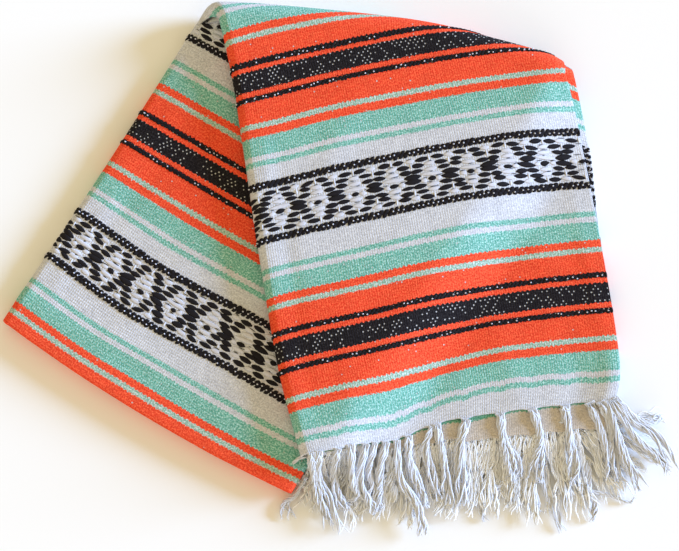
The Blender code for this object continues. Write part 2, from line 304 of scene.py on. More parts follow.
def lower_run(columns, rows, edge_rows):
    """The upper face of the lower run, with its left roll and its crosswise fold."""
    lines, lengths = [], []
    for _, share, inward, drop in columns:
        reach = run_to_fold(lower_sides, 0.0, share, inward)
        ups = [EDGE_ROLL + (reach - EDGE_ROLL) * row / rows for row in range(rows + 1)]
        lines.append([lower_place(share, inward, up, STACK - drop) for up in ups])
        lengths.append(ups)
    lines, lengths = np.array(lines), np.array(lengths)
    first, normal = lines[:, 0], normals_of(lines)[:, 0]
    outward = unit(first - lines[:, 1])
    rolled, v = [], []
    for row in range(edge_rows):
        turn = math.radians(EDGE_TURN) * (1 - row / edge_rows)
        rolled.append(first + outward * EDGE_ROLL * math.sin(turn)
                      - normal * EDGE_ROLL * (1 - math.cos(turn)))
        v.append(lengths[:, 0] - EDGE_ROLL * turn)
    return Cloth([c[0] for c in columns], np.concatenate([np.stack(v, axis=1), lengths], 1),
                 np.concatenate([np.stack(rolled, axis=1), lines], axis=1))


lower = lower_run(roll_columns(FACE_STEPS), LOWER_ROWS, EDGE_ROWS)
print("lower run:", lower.points.shape[:2], "points")

# %% [markdown]
# ## Soft creases
# A folded blanket is never quite flat. Old fold lines, the pull of the fringe knots and a
# thick figured band all leave low swells a few millimetres high. Each is drawn as one row:
# where it lies on the cloth, which way it runs, how long, wide and high it is. Added
# together they make an uneven surface that still keeps the form of the solid.

# %% Creases
# u, v: place in mm; turn: degrees from across; reach and width in mm; height in mm
FRONT_CREASES = (
    (60, 60, 80, 90, 16, 1.0), (150, 40, 95, 70, 20, -0.9), (235, 70, 100, 110, 18, 1.1),
    (310, 45, 85, 80, 15, -0.8), (345, 130, 92, 120, 10, 0.9), (20, 150, 88, 130, 9, -0.9),
    (120, 190, 30, 90, 22, 0.9), (250, 240, 15, 120, 20, -0.9), (90, 320, 60, 80, 18, 1.2),
    (190, 390, 8, 140, 14, 1.4), (320, 330, 70, 90, 16, 1.0), (60, 420, 12, 80, 12, -1.2),
    (180, 120, 5, 160, 14, 0.7), (290, 180, 110, 80, 16, 0.8), (10, 300, 85, 90, 10, 0.9),
    (352, 22, 84, 34, 13, 2.6), (318, 18, 95, 26, 12, -1.0),
)
LOWER_CREASES = (
    (60, 40, 5, 100, 14, 0.9), (200, 30, 175, 120, 12, -0.8), (120, 120, 80, 90, 18, 1.0),
    (40, 220, 85, 110, 12, -0.9), (150, 260, 20, 90, 16, 0.9), (260, 90, 95, 90, 18, 0.9),
    (30, 330, 80, 80, 10, 1.1), (20, 110, 92, 90, 10, 0.8),
)


def crease(cloth, creases):
    """Swell the cloth along each crease; returns how high it was lifted, in mm."""
    u = np.broadcast_to(cloth.u[:, None], cloth.v.shape) / MM
    v = cloth.v / MM
    height = np.zeros(v.shape)
    for at_u, at_v, turn, reach, width, rise in creases:
        c, s = math.cos(math.radians(turn)), math.sin(math.radians(turn))
        run = ((u - at_u) * c + (v - at_v) * s) / reach
        side = (-(u - at_u) * s + (v - at_v) * c) / width
        height += rise * np.exp(-run ** 2 - side ** 2)
    cloth.points = cloth.points + cloth.normals * height[..., None] * MM
    cloth.normals = normals_of(cloth.points)
    return height


# share across the hem; how far the front hem is pulled down there, mm; a knot is a low point
HEM_PULL = (
    (0.0, 0.5), (0.06, 2.5), (0.1, 4.5), (0.125, 2.0), (0.14, 4.0), (0.16, 3.5), (0.18, 5.5),
    (0.2, 5.0), (0.22, 7.0), (0.235, 6.0), (0.25, 8.5), (0.265, 7.0), (0.28, 8.5), (0.3, 5.5),
    (0.32, 6.5), (0.345, 2.5), (0.37, 1.0), (0.4, 2.5), (0.42, -0.5), (0.45, -2.0),
    (0.49, -1.5), (0.51, 1.5), (0.535, -1.0), (0.57, -1.0), (0.6, -0.5), (0.625, 2.5),
    (0.65, 0.0), (0.69, 0.0), (0.725, 3.0), (0.75, 1.0), (0.79, 1.0), (0.83, 3.5),
    (0.86, 1.0), (0.89, 1.5), (0.92, 4.0), (0.96, 4.0), (1.0, 3.0),
)


def pull_hem(cloth, pulls, reach):
    """Draw the hem down where the bundles hang, fading out over reach."""
    share = np.clip(cloth.u / cloth.u[-1], 0, 1)
    pull = look_up(pulls, share)
    down = unit(cloth.points[:, 0] - cloth.points[:, 1])
    fade = np.exp(-((cloth.v - cloth.v[:, :1]) / reach) ** 2)
    cloth.points = cloth.points + (down * pull[:, None])[:, None] * fade[..., None]
    cloth.normals = normals_of(cloth.points)


HEM_REACH = 45 * MM         # how far up the cloth the pull of a bundle is felt
pull_hem(front, HEM_PULL, HEM_REACH)
for cloth, creases in ((front, FRONT_CREASES), (lower, LOWER_CREASES)):
    height = crease(cloth, creases)
    print("creases from", round(height.min(), 1), "to", round(height.max(), 1), "mm")

# %% [markdown]
# ## From points to layers of cloth
# A layer could be a plane with a Solidify modifier, but the edge of a thick weaving is
# round, and a stack's edge shows every layer. So one helper makes both: a bmesh grid is
# extruded and its side walls are cut into steps, and a small table says how far each step
# stands out. One layer has one round edge, and a stack has one for each layer in it.

# %% The slab helper
# depth as a share of the layer, how far its edge stands out in mm
ROUND_EDGE = ((0.0, -0.7), (0.12, -0.25), (0.5, 0.0), (0.88, -0.25), (1.0, -0.7))


def finished_mesh(name, bm):
    mesh = bpy.data.meshes.new(name)
    bm.to_mesh(mesh)
    bm.free()
    return mesh


def corners_of(mesh):
    """The corners of a mesh as rows of x, y and z."""
    values = np.empty(len(mesh.vertices) * 3)
    mesh.vertices.foreach_get("co", values)
    return values.reshape(-1, 3)


def placed(name, content):
    """An object with this content, linked to the scene."""
    obj = bpy.data.objects.new(name, content)
    bpy.context.scene.collection.objects.link(obj)
    return obj


def slab(name, points, down, u, v, rim, sides):
    """A wall of cloth over a grid of points; sides names the edges that the rim shapes."""
    columns, rows = points.shape[0] - 1, points.shape[1] - 1
    bm = bmesh.new()
    bmesh.ops.create_grid(bm, x_segments=columns, y_segments=rows, size=0.5)
    bmesh.ops.scale(bm, vec=(columns, rows, 1), verts=bm.verts)
    bmesh.ops.translate(bm, vec=(columns / 2, rows / 2, 0), verts=bm.verts)
    lower_side = bmesh.ops.extrude_face_region(bm, geom=bm.faces[:])["geom"]
    bmesh.ops.translate(bm, vec=(0, 0, -(len(rim) - 1)),
                        verts=[x for x in lower_side if isinstance(x, bmesh.types.BMVert)])
    walls = [e for e in bm.edges if abs(e.verts[0].co.z - e.verts[1].co.z) > 0.5]
    bmesh.ops.subdivide_edges(bm, edges=walls, cuts=len(rim) - 2, use_grid_fill=True)
    bmesh.ops.recalc_face_normals(bm, faces=bm.faces)
    mesh = finished_mesh(name, bm)

    i, j, k = np.rint(corners_of(mesh)).astype(int).T
    depth, out = (np.array(row) for row in zip(*rim))
    place = points[i, j] + down[i, j] * depth[-k][:, None]
    edges = {"left": (i == 0, points[0] - points[1], j),
             "right": (i == columns, points[-1] - points[-2], j),
             "hem": (j == 0, points[:, 0] - points[:, 1], i),
             "end": (j == rows, points[:, -1] - points[:, -2], i)}
    for side in sides:
        chosen, away, index = edges[side]
        place[chosen] += unit(away)[index[chosen]] * out[-k[chosen]][:, None] * MM
    mesh.vertices.foreach_set("co", place.ravel())

    corner = np.empty(len(mesh.loops), dtype=np.int32)
    mesh.loops.foreach_get("vertex_index", corner)
    strip = mesh.uv_layers.new(name="strip")
    measures = np.stack([u[i[corner]], v[i[corner], j[corner]]], axis=1)
    strip.data.foreach_set("uv", measures.ravel())
    mesh.update()
    mesh.shade_smooth()
    print(name, len(mesh.polygons), "faces")
    return placed(name, mesh)


def layer_of(name, cloth, along_pattern, sides):
    return slab(name, cloth.points, -cloth.normals * LAYER, cloth.u, along_pattern,
                ROUND_EDGE, sides)


# %% [markdown]
# ## Where the pattern falls
# The stripes repeat along the blanket, so one measure is enough to place them all: the
# distance from the middle of a wide black band. On the front run the first black band is
# a hand's breadth above the hem. The weaver's beat wanders, so a stripe leans a little
# from one selvedge to the other, and the lower run was beaten slightly closer.

# %% Distance from the middle of a black band
REPEAT = 304 * MM           # from one wide black band to the next
FRONT_BLACK = 115.5 * MM    # from the hem to the first black band
LOWER_BLACK = 258 * MM      # from the crosswise fold to the lower run's black band
LOWER_BEAT = 1.05           # how much closer the lower run was beaten, below that band
# u in mm; how far the stripes of the front drop (-) or rise (+) there near the hem, in mm
FRONT_LEAN = ((0, -7.0), (70, -4.0), (150, -0.5), (225, 2.5), (300, 1.5), (370, 0.5))
# waves in the stripes: u, v, reach across, reach along, how far they rise; all in mm
FRONT_SWAY = (
    (110, 110, 65, 150, -3.4), (190, 310, 130, 85, -3.8), (200, 480, 220, 70, -2.2),
    (235, 20, 75, 55, 3.0), (15, 120, 30, 110, 1.2), (320, 60, 60, 60, 0.8),
    (30, 510, 70, 60, 5.0), (35, 330, 40, 80, -2.2), (200, 170, 40, 40, -2.0),
    (320, 235, 40, 40, 2.0),
)
LOWER_SWAY = ((112, 105, 55, 85, -3.8), (235, 100, 50, 80, 2.0), (5, 105, 30, 60, 1.5),
              (140, 50, 60, 40, 3.0))


def swell_of(u, v, rows):
    return sum(rise * MM * np.exp(-((u / MM - at_u) / across) ** 2
                                  - ((v / MM - at_v) / along) ** 2)
               for at_u, at_v, across, along, rise in rows)


def front_pattern(u, v):
    lean = look_up(FRONT_LEAN, u / MM)
    fading = 1.0 - 0.6 * np.clip(v / (250 * MM), 0, 1)
    return v - FRONT_BLACK - lean * fading - swell_of(u, v, FRONT_SWAY)


def lower_pattern(u, v):
    t = v - LOWER_BLACK - swell_of(u, v, LOWER_SWAY)
    return np.where(t < 0, t * LOWER_BEAT, t)


front_t = front_pattern(front.u[:, None], front.v)
lower_t = lower_pattern(lower.u[:, None], lower.v)
print("front pattern runs from", round(front_t.min() / MM), "to",
      round(front_t.max() / MM), "mm")

# %% The outer layer of the front run
front_cloth = layer_of("front_cloth", front, front_t, ("hem", "right", "left"))
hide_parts("front_panel")

# %% The upper layer of the lower run
lower_cloth = layer_of("lower_cloth", lower, lower_t, ("hem", "right", "left"))
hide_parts("back_panel")

# %% [markdown]
# ## The second layer
# The layer under the first was not squared up with it: its own hem hangs lower at the
# right, and its selvedge stands out beside the first one. It follows the same form one
# layer down, so its points are the front run's, lowered along their normals and carried
# out past the edge. Its stripes come a little lower, since its hem does.

# %% Second layer of the front run
# share across the strip; how far the second hem hangs below the first, mm
SECOND_HEM = ((0.0, 0), (0.15, 0), (0.35, 13), (0.55, 25), (1.0, 28))
# mm up from the hem; how far the second selvedge stands out, mm
SECOND_SELVEDGE = ((0, -0.8), (170, -0.8), (235, 4.5), (285, 9.5), (350, 12), (390, 13))
SELVEDGE_SHOWN = 10 * MM    # woven width of what stands out
# mm up from the hem; how far its stripes lie below the first layer's, mm
SECOND_STRIPES = ((0, 21), (200, 21), (390, 16))
SECOND_SWAY = ((195, 0, 26, 60, -3.2),)
SECOND_ROWS = HEM_TO_FOLD_ROWS + 11     # it goes a little way over the top fold
MARGIN_COLUMNS, MARGIN_ROWS = 4, 8      # what stands out at the right and at the hem


def second_run():
    """The first layer's form, one layer lower, with a margin at the right and at the hem."""
    first = int(np.argmax(front.u >= 0))
    inner = slice(first, None), slice(SECOND_ROWS)
    points = front.points[inner] - front.normals[inner] * PITCH
    u, v = front.u[first:], front.v[inner]
    away = unit(points[-1] - points[-2])
    out = look_up(SECOND_SELVEDGE, v[-1] / MM)
    outward = np.arange(1, MARGIN_COLUMNS + 1) / MARGIN_COLUMNS
    margin = [points[-1] + away * (out * part)[:, None] for part in outward]
    points = np.concatenate([points, np.array(margin)])
    v = np.concatenate([v, np.repeat(v[-1:], MARGIN_COLUMNS, axis=0)])
    u = np.concatenate([u, u[-1] + SELVEDGE_SHOWN * outward])
    share = np.clip(u / front.u[-1], 0, 1)
    hang = look_up(SECOND_HEM, share) + 0.5 * MM
    down = unit(points[:, 0] - points[:, 1])
    steps = np.arange(MARGIN_ROWS, 0, -1) / MARGIN_ROWS
    below = points[:, :1] + down[:, None] * (hang[:, None] * steps)[..., None]
    points = np.concatenate([below, points], axis=1)
    v = np.concatenate([-hang[:, None] * steps, v], axis=1)
    return Cloth(u, v, points)


second = second_run()


def second_pattern(u, v):
    return (v - FRONT_BLACK + look_up(SECOND_STRIPES, v / MM)
            - swell_of(u, v, SECOND_SWAY))


second_t = second_pattern(second.u[:, None], second.v)
second_cloth = layer_of("second_cloth", second, second_t, ("hem", "right"))
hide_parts("second_layer")

# %% [markdown]
# ## The layers underneath
# Below these two lie six more layers. Only their edges ever show, so they share one solid,
# and a table of steps round its sides draws each layer's rounded edge, some a little
# further out than others.

# %% Hidden layers of the front stack
STACK_COLUMNS, STACK_ROWS, STACK_FOLD_ROWS = 60, 60, 12
FOLD_GAP = 1.5 * MM         # space left inside the top fold


def stacked_edges(layers, steps=4, shallow=0.9, wander=(0.0,)):
    """A rim with one round bulge for each layer; wander moves whole layers in or out."""
    rim = []
    for layer in range(layers):
        for step in range(steps):
            share = step / (steps - 1)
            bulge = math.sqrt(max(1 - (2 * share - 1) ** 2, 0)) - 1
            depth = (layer + 0.02 + 0.96 * share) / layers
            rim.append((depth, bulge * shallow + wander[layer % len(wander)]))
    rim[0], rim[-1] = (0.0, rim[0][1]), (1.0, rim[-1][1])
    return rim


def front_stack():
    """Six layers under the second one, down to the surface or to the fold's inside."""
    columns = [c for c in roll_columns(STACK_COLUMNS) if c[0] >= 0]
    cloth, axes = front_run(columns, STACK_ROWS, STACK_FOLD_ROWS)
    top = cloth.points - cloth.normals * PITCH * 2
    floor = top * np.array([1, 1, 0])
    folded = STACK_ROWS + 1
    floor[:, folded:] = axes + unit(top[:, folded:] - axes) * FOLD_GAP
    t = front_pattern(cloth.u[:, None], cloth.v)
    rim = stacked_edges(6, wander=(-0.8, 0.4, -0.6, 0.9, -0.3, 0.6))
    return slab("front_layers", top, floor - top, cloth.u, t, rim, ("hem", "right"))


front_layers = front_stack()
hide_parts("front_core")

# %% Hidden layers of the lower run
def lower_inset(columns, rows, left, level, lengths_from=0.0):
    """Points of the lower run at one level, its left side brought in."""
    lines, lengths = [], []
    for column in range(columns + 1):
        share = column / columns
        inward = left * (1 - share)
        reach = run_to_fold(lower_sides, 0.0, share, inward)
        ups = [lengths_from + (reach - lengths_from) * row / rows for row in range(rows + 1)]
        lines.append([lower_place(share, inward, up, level) for up in ups])
        lengths.append(ups)
    width = width_at(lower_sides, MIDWAY)
    return Cloth(np.linspace(0, width, columns + 1), lengths, lines)


def lower_stack():
    """Six layers, folded crosswise in pairs, inside the roll of the outermost one."""
    top = lower_inset(STACK_COLUMNS, STACK_ROWS, PITCH * 2.5, STACK - PITCH, EDGE_ROLL)
    down = np.zeros(top.points.shape)
    down[..., 2] = -(STACK - PITCH * 2)
    rim = stacked_edges(3, steps=9, shallow=2.4, wander=(1.6, 0.4, 1.2))
    return slab("lower_layers", top.points, down, top.u,
                lower_pattern(top.u[:, None], top.v), rim, ("hem", "right", "left"))


lower_layers = lower_stack()
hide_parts("back_core")

# %% The layer that lies on the surface
# The outermost layer again, where it comes back under the lower run.
BASE_STEPS, BASE_INSET = 50, 3 * MM
lower_base = lower_inset(BASE_STEPS, BASE_STEPS, BASE_INSET, LAYER, BASE_INSET)
base_cloth = slab("base_cloth", lower_base.points,
                  np.broadcast_to((0, 0, -LAYER), lower_base.points.shape), lower_base.u,
                  lower_pattern(lower_base.u[:, None], lower_base.v), ROUND_EDGE,
                  ("hem", "right", "left"))
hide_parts("base_panel")

# %% [markdown]
# ## The stripes
# In a weft-faced cloth all the colour is in the crosswise yarn, so a stripe is simply a
# number of picks of one colour. A table gives the stripes of one repeat, starting at the
# middle of the wide black band. A colour ramp with constant steps is that table as a node,
# and it reads the distance along the cloth from the UV map.

# %% Stripe table and yarn colours
YARNS = {
    "white": (0.52, 0.53, 0.58),
    "mint": (0.108, 0.385, 0.302),
    "orange": (0.80, 0.050, 0.020),
    "pale": (0.22, 0.42, 0.31),
    "black": (0.009, 0.007, 0.009),
}
# colour, where the stripe ends: mm from the middle of the black band
STRIPES = (
    ("black", 11.5), ("orange", 17), ("black", 23), ("orange", 45.5), ("pale", 51.5),
    ("orange", 59.5), ("mint", 80.5), ("white", 86.5), ("mint", 92.5), ("white", 207),
    ("mint", 213), ("white", 219.5), ("mint", 241), ("orange", 249.5), ("pale", 255.5),
    ("orange", 280.5), ("black", 286.5), ("orange", 292.5), ("black", 304),
)
# the light tone of each yarn, and how much of the cloth has it
TONES = {
    "white": ((0.695, 0.705, 0.745), 0.50),
    "mint": ((0.45, 0.71, 0.66), 0.42),
    "orange": ((0.98, 0.15, 0.06), 0.45),
    "pale": ((0.62, 0.70, 0.66), 0.45),
    "black": ((0.032, 0.028, 0.031), 0.35),
}
# share of the crossings where the white warp shows as a dot
DOTS = {"white": 0.0, "mint": 0.03, "orange": 0.02, "pale": 0.1, "black": 0.45}
DOT_COLOUR = (0.58, 0.58, 0.58, 1)
WARP = 5.3 * MM             # spacing of the warp pairs
PICK = 3.3 * MM             # spacing of the picks


def node(tree, kind, *inputs, **settings):
    """A shader node with its inputs linked or set in order; returns its first output."""
    made = tree.nodes.new(kind)
    for name, value in settings.items():
        setattr(made, name, value)
    for socket, value in zip(made.inputs, inputs):
        if isinstance(value, bpy.types.NodeSocket):
            tree.links.new(value, socket)
        elif value is not None:
            socket.default_value = value
    return made.outputs[0]


def calc(tree, operation, *inputs):
    return node(tree, "ShaderNodeMath", *inputs, operation=operation)


def mottle(tree, place, scale, detail, roughness):
    """Soft random spots, about one metre divided by scale in size."""
    return node(tree, "ShaderNodeTexNoise", place, None, scale, detail, roughness)


def set_inputs(target, values):
    for name, value in values.items():
        target.inputs[name].default_value = value


def new_material(name):
    """A material, with its node tree and its surface."""
    material = bpy.data.materials.new(name)
    material.use_nodes = True
    return material, material.node_tree, material.node_tree.nodes["Principled BSDF"]


def blend(tree, factor, first, second):
    """A colour mix of two sockets or fixed colours."""
    mix = tree.nodes.new("ShaderNodeMix")
    mix.data_type = "RGBA"
    for number, value in ((0, factor), (6, first), (7, second)):
        if isinstance(value, bpy.types.NodeSocket):
            tree.links.new(value, mix.inputs[number])
        else:
            mix.inputs[number].default_value = value
    return mix.outputs[2]


def stripe_ramp(tree, place, colours):
    """A colour ramp with one constant step for each stripe; returns colour and alpha."""
    ramp = tree.nodes.new("ShaderNodeValToRGB")
    ramp.color_ramp.interpolation = "CONSTANT"
    tree.links.new(place, ramp.inputs[0])
    starts = [0.0] + [end for _, end in STRIPES[:-1]]
    elements = ramp.color_ramp.elements
    for number, ((yarn, _), start) in enumerate(zip(STRIPES, starts)):
        position = start * MM / REPEAT
        element = elements[number] if number < 2 else elements.new(position)
        element.position = position
        element.color = colours[yarn]
    return ramp.outputs[0], ramp.outputs[1]


# %% [markdown]
# ## The weave
# Each crossing of a warp and a pick is a small bead of yarn, and here and there the white
# warp shows as a fleck. The material works in units of one crossing: it offsets every
# second pick by half a warp, as plain weave does, takes a random number for each crossing,
# and raises each bead with a bump. The stripe's edge is shifted by the same grid, which
# gives it the fine teeth that interlaced colours have.

# %% The striped cloth material
TEETH = 0.6 * MM            # how far the interlacing moves a stripe's edge
FUZZ = 4.8 * MM             # how far loose fibres blur it
BEAD = 0.36 * MM            # height of a bead of yarn


def striped_material(name, colours, tones):
    """The stripes and the weave, from the colours of the yarns and their light tones."""
    material, tree, surface = new_material(name)
    strip = node(tree, "ShaderNodeUVMap", uv_map="strip")
    parts = tree.nodes.new("ShaderNodeSeparateXYZ")
    tree.links.new(strip, parts.inputs[0])
    u, t = parts.outputs[0], parts.outputs[1]

    add, minus, times, over, whole, fract, cosine = (
        partial(calc, tree, operation) for operation in
        ("ADD", "SUBTRACT", "MULTIPLY", "DIVIDE", "FLOOR", "FRACT", "COSINE"))

    rows = over(t, PICK)
    row = whole(rows)
    stagger = times(calc(tree, "PINGPONG", row, 1.0), 0.5)
    warps = add(over(u, WARP), stagger)
    warp = whole(warps)
    across = minus(fract(warps), 0.5)
    updown = minus(fract(rows), 0.5)
    noise = tree.nodes.new("ShaderNodeTexWhiteNoise")
    noise.noise_dimensions = "2D"
    tree.links.new(node(tree, "ShaderNodeCombineXYZ", warp, row, 0.0), noise.inputs[0])
    luck = noise.outputs[0]

    fuzz = minus(mottle(tree, strip, 400.0, 3.0, 0.7), 0.5)
    teeth = times(cosine(times(across, 2 * math.pi)), TEETH)
    edge = add(add(t, teeth), times(fuzz, FUZZ))
    place = fract(over(edge, REPEAT))
    colour, share = stripe_ramp(tree, place, {k: (*c, DOTS[k]) for k, c in colours.items()})
    light, cover = stripe_ramp(tree, place, {k: (*c, a) for k, (c, a) in tones.items()})
    grain = mottle(tree, strip, 500.0, 3.0, 0.75)
    above = minus(grain, minus(0.70, times(cover, 0.40)))
    speckle = node(tree, "ShaderNodeMapRange", above, -0.09, 0.09, 0.0, 1.0)

    spot = node(tree, "ShaderNodeCombineXYZ", times(across, WARP / MM),
                times(updown, PICK / MM), 0.0)
    size = tree.nodes.new("ShaderNodeVectorMath")
    size.operation = "LENGTH"
    tree.links.new(spot, size.inputs[0])
    distance = add(size.outputs[1], times(fuzz, 2.0))
    dot = node(tree, "ShaderNodeMapRange", distance, 1.0, 0.4, 0.0, 1.0)
    shown = times(dot, calc(tree, "LESS_THAN", luck, share))
    mixed = blend(tree, shown, blend(tree, speckle, colour, light), DOT_COLOUR)

    cloudy = mottle(tree, strip, 60.0, 2.0, 0.5)
    tone = add(times(minus(grain, 0.5), 0.5), times(minus(cloudy, 0.5), 0.25))
    tone = add(add(tone, 1.0), times(minus(luck, 0.5), 0.10))
    toned = tree.nodes.new("ShaderNodeVectorMath")
    toned.operation = "SCALE"
    tree.links.new(mixed, toned.inputs[0])
    tree.links.new(tone, toned.inputs["Scale"])
    tree.links.new(toned.outputs[0], surface.inputs["Base Color"])

    wave = calc(tree, "ABSOLUTE", calc(tree, "SINE", times(across, 2 * math.pi)))
    bead = times(wave, cosine(times(updown, math.pi)))
    height = add(bead, times(grain, 0.6))
    bump = node(tree, "ShaderNodeBump")
    set_inputs(bump.node, {"Strength": 0.85, "Distance": BEAD})
    tree.links.new(height, bump.node.inputs["Height"])
    tree.links.new(bump, surface.inputs["Normal"])
    set_inputs(surface, {"Roughness": 0.95, "Specular IOR Level": 0.15})
    return material


cloth_material = striped_material("striped_cloth", YARNS, TONES)
# painted shade: near its hem, under the first layer's hem and fringe, the second layer has a
# darker, warmer copy of the white and mint yarns
shaded_cloth_material = striped_material(
    "striped_cloth_shaded", {**YARNS, "white": (0.50, 0.45, 0.40), "mint": (0.08, 0.30, 0.19)},
    {**TONES, "white": ((0.64, 0.57, 0.50), 0.5), "mint": ((0.25, 0.50, 0.38), 0.4)})
cloth_pieces = [front_cloth, lower_cloth, second_cloth, front_layers, lower_layers,
                base_cloth]
for piece in cloth_pieces:
    piece.data.materials.append(shaded_cloth_material if piece is second_cloth else cloth_material)
    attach(piece, "root")
# higher up, where no shade is painted, its selvedge is as white as the first layer's
SHADED_UP_TO = -60 * MM        # y where the painted shade ends
second_cloth.data.materials.append(cloth_material)
for face in second_cloth.data.polygons:
    face.material_index = int(face.center.y > SHADED_UP_TO)
print("striped:", ", ".join(piece.name for piece in cloth_pieces))

# %% [markdown]
# ## The black figures
# In the figured band the black yarn floats over about three warps at a time. Eight picks
# of floats make a row of small crosses and diamonds between two braided lines. A float is
# a spindle, thick in the middle and pointed where it dives under, so it is made once as a
# ball of a few dozen faces, drawn out to points. Every float is then a stamp of it: laid
# out flat as on the loom, by u and v, and then put on the cloth along the normal.

# %% One float of yarn
def spindle():
    """A float one unit long, wide and high, pointed at both ends."""
    bm = bmesh.new()
    bmesh.ops.create_uvsphere(bm, u_segments=6, v_segments=6, radius=0.5)
    for vert in bm.verts:
        x, y, z = vert.co.z, vert.co.y, vert.co.x
        pointed = math.sqrt(max(1 - (2 * x) ** 2, 0)) ** 0.6
        vert.co = (x, y * pointed, z * pointed)
    bmesh.ops.recalc_face_normals(bm, faces=bm.faces)
    return finished_mesh("spindle", bm)


def stamp(name, template, cloth, marks, material):
    """One object with the template laid on the cloth at each mark.

    A mark is u, v, length, width, height and turn; lengths in metres, the turn in radians.
    """
    marks = [mark for mark in marks if mark[1] < np.interp(mark[0], cloth.u, cloth.v[:, -1])]
    bm = bmesh.new()
    for _ in marks:
        bm.from_mesh(template)
    mesh = finished_mesh(name, bm)
    x, y, z = corners_of(template).T
    u, v, length, width, height, turn = (c[:, None] for c in np.array(marks).T)
    along_u = x * length * np.cos(turn) - y * width * np.sin(turn)
    along_v = x * length * np.sin(turn) + y * width * np.cos(turn)
    points, normals = cloth.at((u + along_u).ravel(), (v + along_v).ravel())
    lift = (z * height + height * 0.2).ravel()
    laid = points + normals * lift[:, None]
    laid[:, 2] = np.maximum(laid[:, 2], 0)      # a mark on the underside is pressed flat
    mesh.vertices.foreach_set("co", laid.ravel())
    mesh.update()
    mesh.shade_smooth()
    mesh.materials.append(material)
    obj = placed(name, mesh)
    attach(obj, "root")
    print(name, len(marks), "marks,", len(mesh.polygons), "faces")
    return obj


float_shape = spindle()
print("a float has", len(float_shape.polygons), "faces")

# %% Black and white yarn
def yarn_material(name, colour, dark, soft=0.0):
    """Matt yarn with a slight variation of tone along it; soft yarn lets light through."""
    material, tree, surface = new_material(name)
    place = tree.nodes.new("ShaderNodeTexCoord").outputs["Object"]
    noise = mottle(tree, place, 500.0, 3.0, 0.6)
    tree.links.new(blend(tree, noise, (*dark, 1), (*colour, 1)), surface.inputs["Base Color"])
    set_inputs(surface, {
        "Roughness": 0.9, "Specular IOR Level": 0.2, "Subsurface Weight": soft,
        "Subsurface Radius": (1.0, 1.0, 1.0), "Subsurface Scale": 1.2 * MM,
        "Sheen Weight": 0.3 * soft})
    return material


black_yarn = yarn_material("black_yarn", (0.018, 0.015, 0.018), (0.006, 0.005, 0.007))
white_yarn = yarn_material("white_yarn", (0.78, 0.79, 0.86), (0.50, 0.50, 0.56))

# %% [markdown]
# ## The chart
# A weaver would keep this band as a chart on squared paper: eight warps to a repeat and
# eight picks high. Each row lists where its floats start and end, counted in warps from
# the middle of a diamond. Between the rows lie thin dark marks of black yarn, partly where
# the black yarn dives between two warps and partly painted shade in the grooves between
# rows of white floats. The braided lines are two rows of short floats, leaning against
# each other, with a white eye at most of their meetings.

# %% Figure chart
FIGURE_MIDDLE = 154.3 * MM  # from the black band's middle to the figured band's middle
FIGURE_PICK = 6.2 * MM      # from one row of floats to the next
BRAID = 31.0 * MM           # from the figured band's middle to each braided line
CHART_WARPS = 8             # warps in one repeat
# how wide a float is that crosses more than three warps, and a shorter one
LONG_WIDTH, SHORT_WIDTH = 6.9 * MM, 5.5 * MM
FLOAT_HEIGHT, SPECK_HEIGHT, WHITE_HEIGHT = 1.3 * MM, 1.1 * MM, 0.9 * MM
# floats in each of the eight rows, bottom first: (from warp, to warp)
CHART = (
    ((-2.9, -0.2), (0.2, 2.9)),
    ((1.0, 3.8), (4.2, 7.0)),
    ((1.5, 4.1), (3.9, 6.5)),
    ((2.2, 5.8), (-0.9, 0.9)),
    ((2.2, 5.8),),
    ((1.5, 4.1), (3.9, 6.5)),
    ((1.0, 3.8), (4.2, 7.0)),
    ((-2.9, -0.2), (0.2, 2.9)),
)
# white floats between them
WHITE_CHART = (
    ((3, 5),), ((-1.3, 1.3),), ((-1.4, 1.4),), ((-2.3, -0.8), (0.8, 2.3)), ((-2.3, 2.3),),
    ((-1.4, 1.4),), ((-1.3, 1.3),), ((3, 5),),
)
chance = np.random.default_rng(7)


def wobble(amount):
    return float(chance.normal(0, amount))


def figure_marks(first_diamond, repeats, warp, u_range):
    """Floats, dark specks and painted shade lines, ticks and white floats of the figured
    band; t from its middle.
    """
    floats, specks_and_shade_lines, ticks, white = [], [], [], []
    for repeat in range(repeats):
        start = first_diamond + repeat * CHART_WARPS * warp
        for row, spans in enumerate(CHART):
            t = (row - 3.5) * FIGURE_PICK
            for a, b in spans:
                length = (b - a) * warp * 1.08 + wobble(1.0 * MM)
                width = (LONG_WIDTH if b - a > 3 else SHORT_WIDTH) + wobble(0.4 * MM)
                floats.append((start + (a + b) / 2 * warp + wobble(0.6 * MM),
                               t + wobble(0.45 * MM), length, width, FLOAT_HEIGHT,
                               wobble(0.09)))
            middle = 0 if row in (0, 7) else 4
            if row not in (2, 3, 4, 5):
                ticks.append((start + middle * warp + wobble(0.2 * MM), t, 5.6 * MM,
                              2.2 * MM, 1.2 * MM, math.pi / 2 + wobble(0.08)))
            for a, b in WHITE_CHART[row]:
                white.append((start + (a + b) / 2 * warp + wobble(0.8 * MM),
                              t + wobble(0.4 * MM), (b - a) * warp, 5.2 * MM,
                              WHITE_HEIGHT, wobble(0.06)))
                # partly painted shade: a dark line of black yarn between two rows of white
                # floats stands for the groove between them and for the black yarn diving
                # there
                if chance.random() < 0.8:
                    specks_and_shade_lines.append((start + (a + b) / 2 * warp + wobble(2 * MM),
                                   t + FIGURE_PICK / 2 + wobble(0.4 * MM),
                                   (2 + 9 * chance.random()) * MM, 0.75 * MM,
                                   SPECK_HEIGHT, wobble(0.05)))
    return [[m for m in marks
             if u_range[0] < m[0] - m[2] / 2 and m[0] + m[2] / 2 < u_range[1]]
            for marks in (floats, specks_and_shade_lines, ticks, white)]


